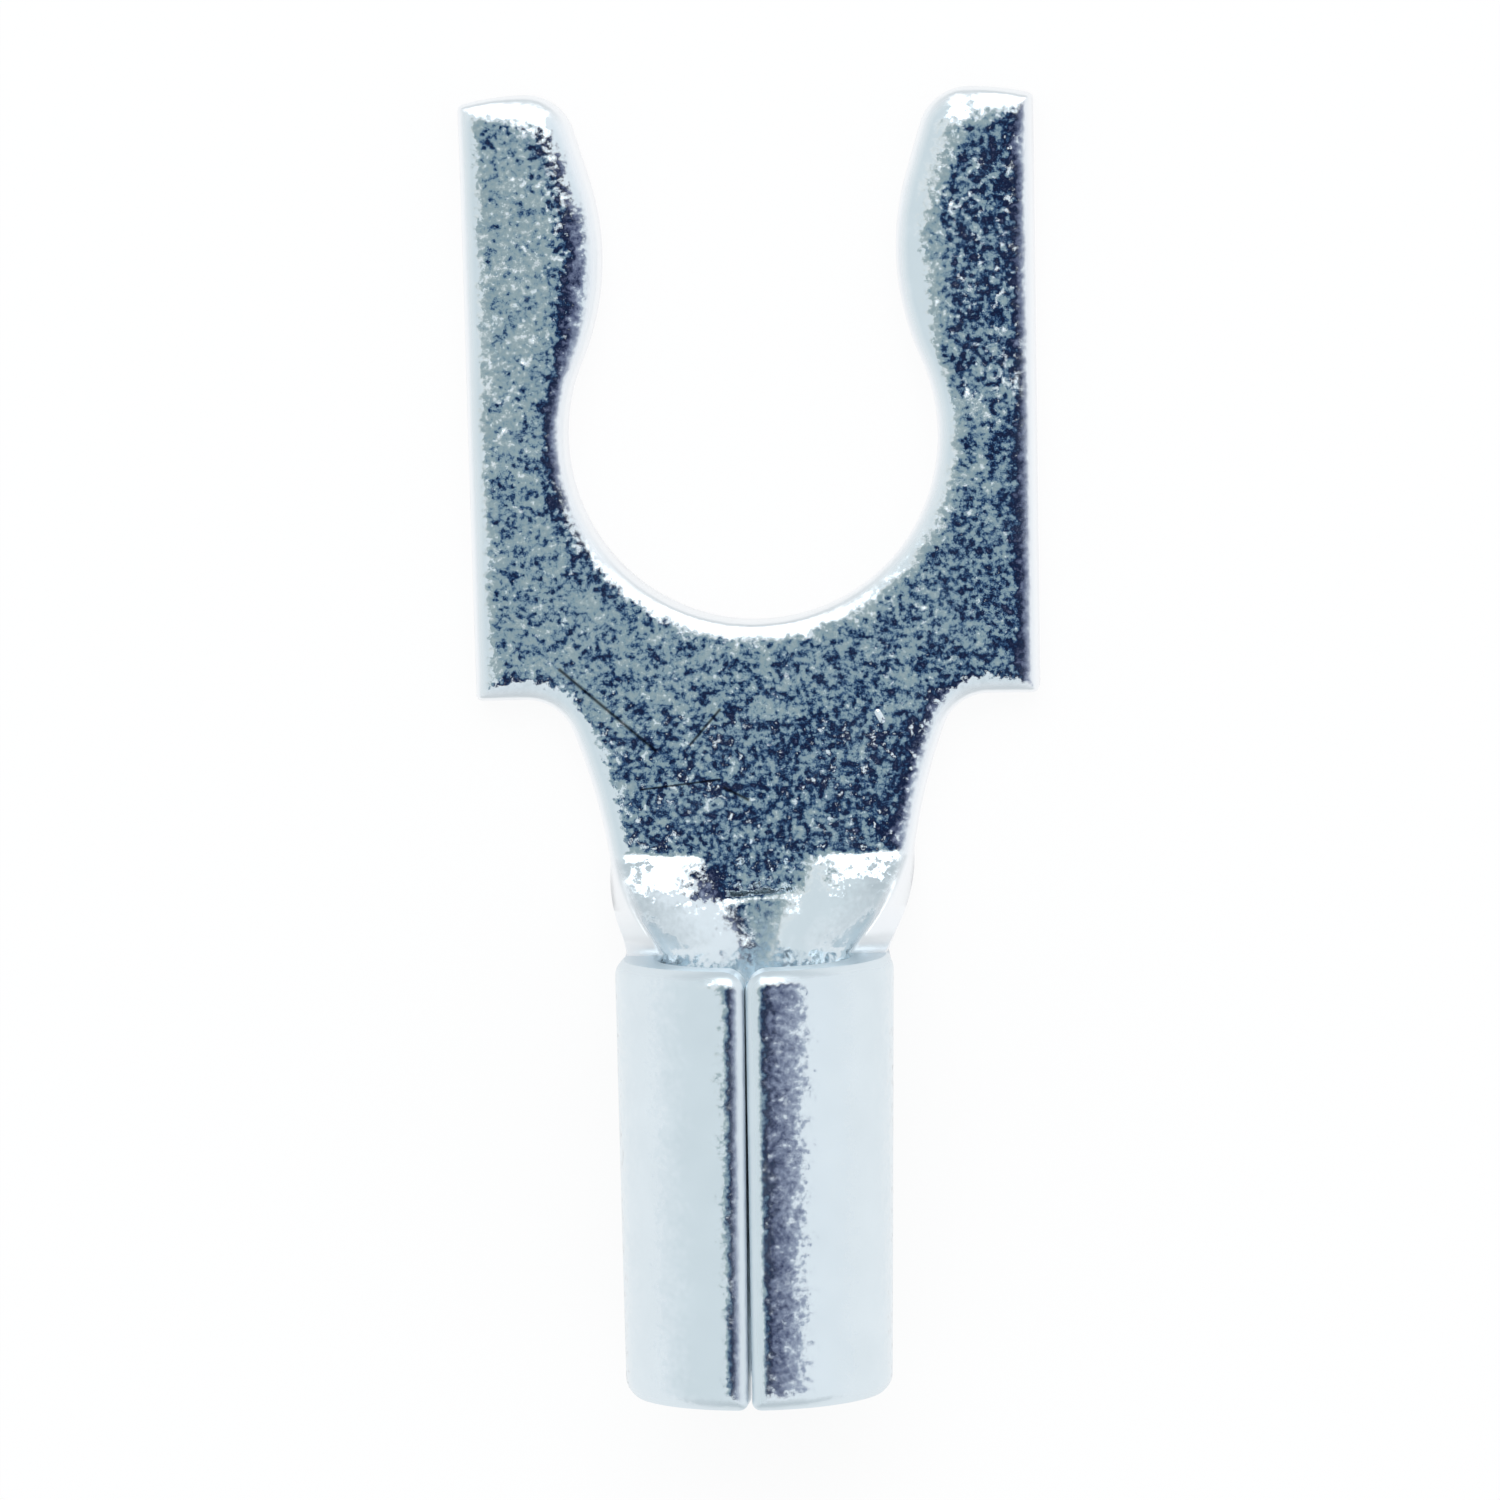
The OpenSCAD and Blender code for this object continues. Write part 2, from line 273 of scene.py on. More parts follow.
edge_total = len(outline)
borders = [(index, (index + 1) % edge_total) for index in range(edge_total)]
flat, _, triangles, sources, _, _ = delaunay_2d_cdt(points, borders, [], INSIDE_ONLY, MERGE_DISTANCE)
place_of = {source: new for new, group in enumerate(sources) for source in group}
rim = [place_of[index] for index in range(edge_total)]
print("flat points", len(flat), "triangles", len(triangles))

# %% [markdown]
# Now each flat point gets two heights, one on the upper face and one on the underside. The upper face
# drops towards the edge in a long soft tail with a small round at its end, and the underside of the
# fork keeps the crisp edge that shearing leaves. On the barrel it is the outer face that is rounded, so
# along the wings the two faces change roles. The left wing's edge came out a little rounder than the
# right's, and the tail is wider at the bulges, as the bright bands in the photograph show.

# %% Soft edges
TAIL_WIDTH = 0.46
TAIL_DROP = 0.12
BULGE_TAIL = 1.7
BULGE_BEGINS = (0.8, 2.0)
BULGE_ENDS = (3.0, 3.5)
OUTER_TAIL = 0.85
OUTER_BEGINS = (3.4, 3.8)
FORK_ROUND = 0.07
INNER_ROUND = 0.05
SHEARED_ROUND = 0.03
LEFT_ROUND = 0.22
RIGHT_ROUND = 0.2
ROUND_CHANGE = (-0.5, 0.5)
WING_SLOPE = 1.1


def smooth(value, start, end):
    """0 at start, 1 at end, and a smooth step between them."""
    share = min(max((value - start) / (end - start), 0.0), 1.0)
    return share * share * (3 - 2 * share)


def rounded(distance, radius):
    """Drop of a quarter-round edge at a distance in from the edge."""
    share = max(1 - distance / radius, 0.0)
    return radius * (1 - math.sqrt(1 - share * share))


def edge_drops(x, y):
    """How far the upper face bends down and the underside bends up near the outline."""
    distance = edge_distance(x, y)
    wing = smooth(y, FOLD_Y, BARREL_FRONT)
    bulge_share = smooth(y, *BULGE_BEGINS) * (1 - smooth(abs(x), *BULGE_ENDS))
    outer_share = smooth(abs(x), *OUTER_BEGINS)
    spread = 1 + (BULGE_TAIL - 1) * bulge_share + (OUTER_TAIL - 1) * outer_share
    tail = (1 - wing) * spread * TAIL_DROP * max(1 - distance / (spread * TAIL_WIDTH), 0.0) ** 3
    upper = tail + rounded(distance, FORK_ROUND + wing * (INNER_ROUND - FORK_ROUND))
    reach = LEFT_ROUND + (RIGHT_ROUND - LEFT_ROUND) * smooth(x, *ROUND_CHANGE)
    eased = WING_SLOPE * max(reach - distance, 0.0) ** 2 / (2 * reach)
    lower = (1 - wing) * rounded(distance, SHEARED_ROUND) + wing * eased
    return upper, lower


print("drop at a fork edge", round(edge_drops(SHOULDER_HALF, 0)[0], 3), "mm")

# %% [markdown]
# Four small shapes come from the tools. The neck is pressed thinner towards the crease, by up to a tenth
# of a millimetre. Behind the fold line its sides ramp up at once while the floor stays level. Across the
# floor runs a short crease, behind which the floor rises gently into the barrel. And the upper face of
# each tine falls very slightly towards its outer edge, so the tines mirror different sides of the room.

# %% Neck, ramps, crease and sloping tines
NECK_FROM = -4.0
NECK_SLOPE = 0.042
RAMP_SLOPE = 0.27
RAMP_INNER = (0.58, 1.02)
CREASE_Y = -6.5
CREASE_SKEW = 0.07
CREASE_HALF = 0.66
CREASE_FULL_SHARE = 0.6
CREASE_REACH = 0.06
CREASE_DEPTH = 0.018
FLOOR_SLOPE = 0.06
WALL_SLOPE = 0.12
FLOOR_HALF = 0.3
WALL_FROM = 0.65
WALL_FADE = (1.2, 1.9)
FLOOR_END = (-7.55, -8.4)
LEFT_TINE_SLOPE = 0.034
RIGHT_TINE_SLOPE = 0.052
TINE_INNER = 2.62
TINE_EASE = 0.25
TINE_ROOT = (0.2, 1.6)
TINE_TIP = (3.7, 4.4)


def behind_crease(x, y):
    """How far a point lies behind the crease, which runs a little askew."""
    return CREASE_Y + CREASE_SKEW * x - y


def crease_drop(x, y):
    """The groove of the crease across the floor."""
    groove = max(1 - abs(behind_crease(x, y)) / CREASE_REACH, 0.0)
    return CREASE_DEPTH * groove * (1 - smooth(abs(x), CREASE_FULL_SHARE * CREASE_HALF, CREASE_HALF))


def tool_lift(x, y):
    """How far the tools lift both faces, beside the floor and on the floor behind the crease."""
    behind = max(FOLD_Y - y, 0.0)
    left_to_go = max(1 - behind / (FOLD_Y - BARREL_FRONT), 0.0)
    ramp = RAMP_SLOPE * behind * left_to_go ** 2 * smooth(abs(x), *RAMP_INNER)
    slope = FLOOR_SLOPE + (WALL_SLOPE - FLOOR_SLOPE) * smooth(abs(x), FLOOR_HALF, WALL_FROM)
    floor = slope * max(behind_crease(x, y), 0.0) * (1 - smooth(abs(x), *WALL_FADE))
    return ramp + floor * (1 - smooth(-y, -FLOOR_END[0], -FLOOR_END[1]))


def neck_drop(y):
    """The thinner sheet of the neck, which comes back to full thickness inside the barrel."""
    pressed = min(max(NECK_FROM - y, 0.0), NECK_FROM - CREASE_Y)
    return NECK_SLOPE * pressed * (1 - smooth(-y, -FLOOR_END[0], -FLOOR_END[1]))


def tine_drop(x, y):
    """The slight fall of each tine's upper face towards its outer edge."""
    reach = max(abs(x) - TINE_INNER, 0.0)
    eased = reach * reach / (2 * TINE_EASE) if reach < TINE_EASE else reach - TINE_EASE / 2
    slope = RIGHT_TINE_SLOPE if x > 0 else LEFT_TINE_SLOPE
    return slope * eased * smooth(y, *TINE_ROOT) * (1 - smooth(y, *TINE_TIP))


def heights(x, y):
    """Upper and lower height of the sheet at a point of the blank."""
    upper_drop, lower_rise = edge_drops(x, y)
    lift = tool_lift(x, y)
    pressed = neck_drop(y) + crease_drop(x, y) + tine_drop(x, y)
    return SHEET + lift - upper_drop - pressed, lift + lower_rise


levels = [heights(x, y) for x, y in flat]
upper_levels = [upper for upper, _ in levels]
print("upper face from", round(min(upper_levels), 3), "to", round(max(upper_levels), 3), "mm")

# %% Mesh of the blank
EDGE_DULL = 0.3
ROLLED_DULL = 0.32
ROLLED_EASE = 0.3


def dullness(x, y):
    """How dull the tools leave a spot: 1 at the sheared edges, a third of that on the barrel."""
    rolled = ROLLED_DULL * smooth(-y, -CREASE_Y, ROLLED_EASE - CREASE_Y)
    return max(1 - smooth(edge_distance(x, y), 0.0, EDGE_DULL), rolled)


flat_total = len(flat)
upper_points = [Vector((p.x, p.y, level[0])) * MM for p, level in zip(flat, levels)]
lower_points = [Vector((p.x, p.y, level[1])) * MM for p, level in zip(flat, levels)]
upper_faces = [tuple(t) for t in triangles]
lower_faces = [tuple(flat_total + corner for corner in reversed(t)) for t in triangles]
walls = [(flat_total + a, flat_total + b, b, a) for a, b in zip(rim, rim[1:] + rim[:1])]
blank_mesh = bpy.data.meshes.new("fork_terminal_blank")
blank_mesh.from_pydata(upper_points + lower_points, [], upper_faces + lower_faces + walls)
dull = blank_mesh.attributes.new("dull", "FLOAT", "POINT")
dull.data.foreach_set("value", 2 * [dullness(x, y) for x, y in flat])
blank = bpy.data.objects.new("fork_terminal_blank", blank_mesh)
bpy.context.scene.collection.objects.link(blank)
print("blank mesh", len(blank_mesh.vertices), "points", len(blank_mesh.polygons), "faces")

# %% [markdown]
# Tin plate is a soft grey metal with a fine grain: thousands of tiny dents, each tilted its own way, so
# that each mirrors another bit of the room. A bump map of a noise gives wormy ridges, because it follows
# the noise's slope. Here the noise tilts the surface's normal directly, and each grain gets its own tilt.
# A broader noise makes the sheet gently uneven and changes how glossy it is from place to place. The
# tools that sheared the edges and rolled the barrel also smoothed the grain there and left a wider
# sheen. The mesh carries how much of that each spot has, in its attribute called dull, and the same
# attribute lightens the colour of the fork's edges as a painted sheen.

# %% Tin finish and its helpers
tin = bpy.data.materials.new("tin_plate")
tin.use_nodes = True
tin_nodes = tin.node_tree.nodes
tin_surface = tin_nodes["Principled BSDF"]
tin_surface.inputs["Metallic"].default_value = 1.0
tin_place = tin_nodes.new("ShaderNodeTexCoord").outputs["Object"]


def feed(socket, value):
    """Give a socket a number, a vector or another node's output."""
    if isinstance(value, bpy.types.NodeSocket):
        value.id_data.links.new(value, socket)
    else:
        socket.default_value = value


def tin_math(operation, *values, clamp=False):
    """A math node of the tin finish."""
    made = tin_nodes.new("ShaderNodeMath")
    made.operation = operation
    made.use_clamp = clamp
    for socket, value in zip(made.inputs, values):
        feed(socket, value)
    return made.outputs[0]


def tin_vector(operation, first, second=None, scale=None):
    """A vector math node of the tin finish."""
    made = tin_nodes.new("ShaderNodeVectorMath")
    made.operation = operation
    feed(made.inputs[0], first)
    if second is not None:
        feed(made.inputs[1], second)
    if scale is not None:
        feed(made.inputs["Scale"], scale)
    return made.outputs["Value" if operation in {"LENGTH", "DOT_PRODUCT"} else "Vector"]


def tin_noise(size, detail):
    """A noise in the terminal's own coordinates, with patches of about the given size in millimetres."""
    made = tin_nodes.new("ShaderNodeTexNoise")
    made.inputs["Scale"].default_value = 1 / (size * MM)
    made.inputs["Detail"].default_value = detail
    feed(made.inputs["Vector"], tin_place)
    return made


print("finish", tin.name, "starts with", len(tin_nodes), "nodes")

# %% Grain that tilts the surface
FROST_SIZE = 0.012
FROST_DETAIL = 0.0
FROST_TILT = 0.14
GRAIN_SIZE = 0.078
GRAIN_DETAIL = 2.0
GRAIN_TILT = 0.45
PATCH_SIZE = 0.22
PATCH_DETAIL = 1.0
PATCH_TILT = 0.3
WAVE_SIZE = 0.6
WAVE_DETAIL = 1.0
NOISE_MIDDLE = (0.5, 0.5, 0.5)
BURNISH = 0.8


def noise_tilt(noise, strength):
    """A tilt with no lean of its own, made from a noise's colour."""
    centred = tin_vector("SUBTRACT", noise.outputs["Color"], NOISE_MIDDLE)
    return tin_vector("SCALE", centred, scale=strength)


waves = tin_noise(WAVE_SIZE, WAVE_DETAIL)
frost_tilt = noise_tilt(tin_noise(FROST_SIZE, FROST_DETAIL), FROST_TILT)
grain_tilt = noise_tilt(tin_noise(GRAIN_SIZE, GRAIN_DETAIL), GRAIN_TILT)
patch_tilt = noise_tilt(tin_noise(PATCH_SIZE, PATCH_DETAIL), PATCH_TILT)
straight = tin_nodes.new("ShaderNodeNewGeometry").outputs["Normal"]
dulled = tin_nodes.new("ShaderNodeAttribute")
dulled.attribute_name = "dull"
grain_left = tin_math("SUBTRACT", 1.0, tin_math("MULTIPLY", dulled.outputs["Fac"], BURNISH))
uneven = tin_vector("ADD", tin_vector("ADD", grain_tilt, patch_tilt), frost_tilt)
tilt = tin_vector("SCALE", uneven, scale=grain_left)
tilted = tin_vector("NORMALIZE", tin_vector("ADD", straight, tilt))
print("grain", GRAIN_SIZE, "mm across, tilted by", GRAIN_TILT)

# %% [markdown]
# The tongue has been handled: two long scratches cross it, two short ones lie nearby, and a nick at the
# right of the neck shines. Each scratch is a line between two points, and what the shader needs is how
# far a spot lies from that line. The same few vector steps, put in a function, serve all of them.

# %% Scratches
SCRATCHES = (
    ((-2.77, -3.25, 0.0), (-1.45, -4.41, 0.0), 0.038),
    ((-0.95, -4.34, 0.0), (-0.52, -3.85, 0.0), 0.030),
    ((-0.48, -4.96, 0.0), (-0.15, -5.13, 0.0), 0.036),
    ((-1.67, -4.97, 0.0), (-0.54, -4.84, 0.0), 0.024),
)
NICK = ((1.71, -3.92, 0.0), (1.77, -4.03, 0.0), 0.045)
UPPER_FACE = 0.5

parts = tin_nodes.new("ShaderNodeSeparateXYZ")
feed(parts.inputs[0], tin_place)
level_place = tin_nodes.new("ShaderNodeCombineXYZ")
feed(level_place.inputs["X"], parts.outputs["X"])
feed(level_place.inputs["Y"], parts.outputs["Y"])
on_upper_face = tin_math("GREATER_THAN", parts.outputs["Z"], UPPER_FACE * MM)


def line_mask(start, end, half_width):
    """1 on a line between two points in millimetres, fading to 0 at its half width."""
    begin = Vector(start) * MM
    reach = (Vector(end) - Vector(start)) * MM
    from_start = tin_vector("SUBTRACT", level_place.outputs[0], begin)
    covered = tin_vector("DOT_PRODUCT", from_start, reach)
    share = tin_math("DIVIDE", covered, reach.length_squared, clamp=True)
    nearest = tin_vector("SCALE", reach, scale=share)
    away = tin_vector("LENGTH", tin_vector("SUBTRACT", from_start, nearest))
    faded = tin_math("SUBTRACT", 1.0, tin_math("DIVIDE", away, half_width * MM), clamp=True)
    return tin_math("MULTIPLY", faded, on_upper_face)


scratched = line_mask(*SCRATCHES[0])
for scratch in SCRATCHES[1:]:
    scratched = tin_math("MAXIMUM", scratched, line_mask(*scratch))
nicked = line_mask(*NICK)
print("scratches", len(SCRATCHES), "tin nodes", len(tin_nodes))

# %% [markdown]
# The colour is built up in layers: the sheet's own grey, a painted sheen that lightens the colour along
# the fork's edges where the tools burnished them, and the dark scratches on top. Each layer is a blend of
# two colours, so one helper makes them all, and the room uses it later. The gloss follows the broad
# noise, and the nick is a small bump.

# %% Tin colours
TIN_DULL = (0.69, 0.77, 0.82, 1)
TIN_BRIGHT = (0.76, 0.84, 0.89, 1)
# painted sheen: the fork's edges are lightened towards near white, standing in for their bright
# reflections
TIN_PAINTED_SHEEN = (0.93, 0.95, 0.97, 1)
SCRATCH_COLOUR = (0.03, 0.035, 0.045, 1)


def blend(nodes, value, reach, colours):
    """A colour that runs from one to another while a value runs along its reach."""
    share = nodes.new("ShaderNodeMapRange")
    share.inputs["From Min"].default_value, share.inputs["From Max"].default_value = reach
    feed(share.inputs["Value"], value)
    mix = nodes.new("ShaderNodeMix")
    mix.data_type = "RGBA"
    feed(mix.inputs["Factor"], share.outputs["Result"])
    for socket, colour in zip((s for s in mix.inputs if s.type == "RGBA"), colours):
        feed(socket, colour)
    return next(socket for socket in mix.outputs if socket.type == "RGBA")


sheet_colour = blend(tin_nodes, waves.outputs["Fac"], (0.0, 1.0), (TIN_DULL, TIN_BRIGHT))
on_fork = tin_math("GREATER_THAN", parts.outputs["Y"], BARREL_FRONT * MM)
# painted sheen: along the burnished fork edges the colour is lightened, a stand-in for the bright bands
# they reflect
painted_sheen_mask = tin_math("MULTIPLY", dulled.outputs["Fac"], on_fork)
sheen_painted_colour = blend(tin_nodes, painted_sheen_mask, (ROLLED_DULL, 1.0), (sheet_colour, TIN_PAINTED_SHEEN))
marked_colour = blend(tin_nodes, scratched, (0.0, 1.0), (sheen_painted_colour, SCRATCH_COLOUR))
feed(tin_surface.inputs["Base Color"], marked_colour)
print("tin from", TIN_DULL[:3], "to", TIN_BRIGHT[:3], "and edges up to", TIN_PAINTED_SHEEN[:3])

# %% Gloss and relief
GLOSS_REACH = (0.3, 0.7)
ROUGHNESS = (0.06, 0.11)
DULL_ROUGHNESS = 0.24
NICK_HEIGHT = 0.02

gloss = tin_nodes.new("ShaderNodeMapRange")
gloss.inputs["From Min"].default_value, gloss.inputs["From Max"].default_value = GLOSS_REACH
gloss.inputs["To Min"].default_value, gloss.inputs["To Max"].default_value = ROUGHNESS
feed(gloss.inputs["Value"], waves.outputs["Fac"])
duller = tin_math("MULTIPLY", dulled.outputs["Fac"], DULL_ROUGHNESS)
feed(tin_surface.inputs["Roughness"], tin_math("ADD", gloss.outputs["Result"], duller))
raised = tin_nodes.new("ShaderNodeBump")
raised.inputs["Distance"].default_value = NICK_HEIGHT * MM
feed(raised.inputs["Height"], nicked)
feed(raised.inputs["Normal"], tilted)
feed(tin_surface.inputs["Normal"], raised.outputs["Normal"])
print("tin nodes", len(tin_nodes))

# %% [markdown]
# Rolling the barrel is a rule, not a drawing: behind the fold line the sheet curls a little more at
# every step, until it closes into a tube. Geometry Nodes hold that rule. The tree reads where a point
# lies on the flat blank, works out how far the sheet has curled there, and sets the point on the arc.
# Changing one of its inputs rolls a different barrel from the same blank. This one leans by just over
# half a degree to the left, as the one in the photograph does.

# %% Inputs of the rolling tree
BARREL_LEAN = -0.011
ROLL_INPUTS = {
    "Sheet thickness": SHEET * MM,
    "Fold line": FOLD_Y * MM,
    "Barrel front": BARREL_FRONT * MM,
    "Barrel rear": BARREL_REAR * MM,
    "Front radius": (BARREL_R_FRONT - SHEET / 2) * MM,
    "Rear radius": (BARREL_R_REAR - SHEET / 2) * MM,
    "Floor half width": FLOOR_HALF * MM,
    "Barrel lean": BARREL_LEAN,
}
rolling = bpy.data.node_groups.new("roll_the_barrel", "GeometryNodeTree")
rolling.interface.new_socket("Geometry", in_out="INPUT", socket_type="NodeSocketGeometry")
rolling.interface.new_socket("Geometry", in_out="OUTPUT", socket_type="NodeSocketGeometry")
for name in ROLL_INPUTS:
    rolling.interface.new_socket(name, in_out="INPUT", socket_type="NodeSocketFloat")
rolling.interface.new_socket("Finish", in_out="INPUT", socket_type="NodeSocketMaterial")
entry = rolling.nodes.new("NodeGroupInput")
given = entry.outputs
print("inputs", list(ROLL_INPUTS))

# %% How far the sheet has curled
LEAST_CURL = 0.002


def roll_math(operation, *values):
    """A math node of the rolling tree between sockets or numbers."""
    made = rolling.nodes.new("ShaderNodeMath")
    made.operation = operation
    for socket, value in zip(made.inputs, values):
        feed(socket, value)
    return made.outputs[0]


def roll_share(value, start, end):
    """A share that runs from 0 at start to 1 at end and stays there."""
    share = roll_math("DIVIDE", roll_math("SUBTRACT", value, start), roll_math("SUBTRACT", end, start))
    return roll_math("MINIMUM", roll_math("MAXIMUM", share, 0.0), 1.0)


split = rolling.nodes.new("ShaderNodeSeparateXYZ")
feed(split.inputs[0], rolling.nodes.new("GeometryNodeInputPosition").outputs[0])
blank_x, blank_y, blank_z = split.outputs
folded = roll_share(blank_y, given["Fold line"], given["Barrel front"])
rearward = roll_share(blank_y, given["Barrel front"], given["Barrel rear"])
narrowing = roll_math("SUBTRACT", given["Rear radius"], given["Front radius"])
barrel_radius = roll_math("ADD", given["Front radius"], roll_math("MULTIPLY", rearward, narrowing))
bend_radius = roll_math("DIVIDE", barrel_radius, roll_math("MAXIMUM", folded, LEAST_CURL))
floor_half = roll_math("MULTIPLY", given["Floor half width"], roll_math("SUBTRACT", 1.0, folded))
print("the curl takes", len(rolling.nodes), "nodes")

# %% Where each point lands
from_middle = roll_math("ABSOLUTE", blank_x)
on_floor = roll_math("MINIMUM", from_middle, floor_half)
turn = roll_math("DIVIDE", roll_math("SUBTRACT", from_middle, on_floor), bend_radius)
half_sheet = roll_math("DIVIDE", given["Sheet thickness"], 2.0)
reach = roll_math("SUBTRACT", bend_radius, roll_math("SUBTRACT", blank_z, half_sheet))
sideways = roll_math("ADD", on_floor, roll_math("MULTIPLY", reach, roll_math("SINE", turn)))
rise = roll_math("MULTIPLY", reach, roll_math("SUBTRACT", 1.0, roll_math("COSINE", turn)))
landed = rolling.nodes.new("ShaderNodeCombineXYZ")
leaned = roll_math("MULTIPLY", given["Barrel lean"], roll_math("SUBTRACT", given["Fold line"], blank_y))
to_its_side = roll_math("MULTIPLY", sideways, roll_math("SIGN", blank_x))
feed(landed.inputs["X"], roll_math("ADD", leaned, to_its_side))
feed(landed.inputs["Y"], blank_y)
feed(landed.inputs["Z"], roll_math("ADD", blank_z, rise))
print("with the landing", len(rolling.nodes), "nodes")

# %% Finish the tree
place_points = rolling.nodes.new("GeometryNodeSetPosition")
realize = rolling.nodes.new("GeometryNodeRealizeInstances")
set_finish = rolling.nodes.new("GeometryNodeSetMaterial")
leave = rolling.nodes.new("NodeGroupOutput")
feed(place_points.inputs["Geometry"], given["Geometry"])
feed(place_points.inputs["Selection"], roll_math("LESS_THAN", blank_y, given["Fold line"]))
feed(place_points.inputs["Position"], landed.outputs[0])
feed(realize.inputs[0], place_points.outputs[0])
feed(set_finish.inputs["Geometry"], realize.outputs[0])
feed(set_finish.inputs["Material"], given["Finish"])
feed(leave.inputs[0], set_finish.outputs[0])
print("rolling tree", len(rolling.nodes), "nodes")

# %% Roll the blank
SHARP_ANGLE = math.radians(38)
roll = blank.modifiers.new("roll", "NODES")
roll.node_group = rolling
for item in rolling.interface.items_tree:
    if item.in_out == "INPUT" and item.name in ROLL_INPUTS:
        roll[item.identifier] = ROLL_INPUTS[item.name]
    if item.in_out == "INPUT" and item.name == "Finish":
        roll[item.identifier] = tin
bpy.context.view_layer.update()
rolled = blank.evaluated_get(bpy.context.evaluated_depsgraph_get())
terminal_mesh = bpy.data.meshes.new_from_object(rolled)
terminal_mesh.name = "fork_terminal_piece"
bpy.data.objects.remove(blank)
terminal_mesh.shade_smooth()
terminal_mesh.set_sharp_from_angle(angle=SHARP_ANGLE)
terminal = bpy.data.objects.new("fork_terminal_piece", terminal_mesh)
bpy.context.scene.collection.objects.link(terminal)
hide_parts("fork_terminal")
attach(terminal, "root")
print("terminal", len(terminal_mesh.polygons), "faces, finish", terminal_mesh.materials[0].name)

# %% [markdown]
# The picture is high key: a white table, light from all round and something dark high above, most
# likely the camera and whoever holds it. The flat fork mirrors that dark thing and the round barrel
# mirrors the bright sides. So the room comes first. It is white near the table and on the right, a
# little dimmer on the left, and greyer at both ends, so that the metal has something to mirror there.

# %% White room
ROOM_LEFT = (0.82, 0.865, 0.88, 1)
ROOM_RIGHT = (0.96, 0.98, 1.0, 1)
ROOM_TURN = (-0.5, 0.1)
ROOM_LOW = (0.97, 0.98, 0.99, 1)
ROOM_RISE = (0.0, 0.55)
ROOM_ENDS = (0.62, 0.66, 0.68, 1)
ROOM_END_REACH = (0.5, 0.95)

room = bpy.data.worlds.new("white_room")
room.use_nodes = True
bpy.context.scene.world = room
room_nodes = room.node_tree.nodes
room_way = room_nodes.new("ShaderNodeSeparateXYZ")
feed(room_way.inputs[0], room_nodes.new("ShaderNodeTexCoord").outputs["Generated"])
room_sides = blend(room_nodes, room_way.outputs["X"], ROOM_TURN, (ROOM_LEFT, ROOM_RIGHT))
room_whole = blend(room_nodes, room_way.outputs["Z"], ROOM_RISE, (ROOM_LOW, room_sides))
room_end = room_nodes.new("ShaderNodeMath")
room_end.operation = "ABSOLUTE"
feed(room_end.inputs[0], room_way.outputs["Y"])
room_colour = blend(room_nodes, room_end.outputs[0], ROOM_END_REACH, (room_whole, ROOM_ENDS))
feed(room_nodes["Background"].inputs["Color"], room_colour)
print("room from", ROOM_LEFT[:3], "to", ROOM_RIGHT[:3])

# %% [markdown]
# Under this room's light alone, a white table looks pale grey. Mixing its finish with a glow that only
# the camera and reflections see brings it close to white, and the rest still takes the shadow.

# %% White table
TABLE_HALF = 400.0
TABLE_DROP = 0.01
TABLE_GLOW = 0.88
TABLE_COLOUR = (0.97, 0.97, 0.97, 1)
TABLE_ROUGHNESS = 0.9


def card_object(name, corners, height):
    """A flat card with the given corners at a height, both in millimetres."""
    mesh = bpy.data.meshes.new(name)
    mesh.from_pydata([(x * MM, y * MM, height * MM) for x, y in corners], [], [range(len(corners))])
    made = bpy.data.objects.new(name, mesh)
    bpy.context.scene.collection.objects.link(made)
    material = bpy.data.materials.new(name)
    material.use_nodes = True
    mesh.materials.append(material)
    return made, material.node_tree.nodes


square = ((-1, -1), (1, -1), (1, 1), (-1, 1))
table_corners = [(TABLE_HALF * x, TABLE_HALF * y) for x, y in square]
table, table_nodes = card_object("white_table", table_corners, -TABLE_DROP)
table_surface = table_nodes["Principled BSDF"]
table_surface.inputs["Base Color"].default_value = TABLE_COLOUR
table_surface.inputs["Roughness"].default_value = TABLE_ROUGHNESS
print(table.name, "is", 2 * TABLE_HALF, "mm wide")

# %% Glow of the table
table_glow = table_nodes.new("ShaderNodeEmission")
table_mix = table_nodes.new("ShaderNodeMixShader")
light_path = table_nodes.new("ShaderNodeLightPath")


def table_math(operation, first, second):
    """A math node of the table's material."""
    made = table_nodes.new("ShaderNodeMath")
    made.operation = operation
    feed(made.inputs[0], first)
    feed(made.inputs[1], second)
    return made.outputs[0]


paths = light_path.outputs
mirrored = table_math("MAXIMUM", paths["Is Glossy Ray"], paths["Is Transmission Ray"])
shown = table_math("MAXIMUM", paths["Is Camera Ray"], mirrored)
feed(table_mix.inputs["Fac"], table_math("MULTIPLY", shown, TABLE_GLOW))
feed(table_mix.inputs[1], table_surface.outputs[0])
feed(table_mix.inputs[2], table_glow.outputs[0])
feed(table_nodes["Material Output"].inputs["Surface"], table_mix.outputs[0])
print("table glow", TABLE_GLOW)

# %% [markdown]
# The dark thing above is a card that only reflections see. Each grain of the tin mirrors another spot
# of it and so gets its own tone. That is why the card is graded: grey on the right, then navy, then
# grey again and near white at the far left, with a fade to white towards the tips. A wide soft lamp
# beyond the tips whitens whatever leans that way.

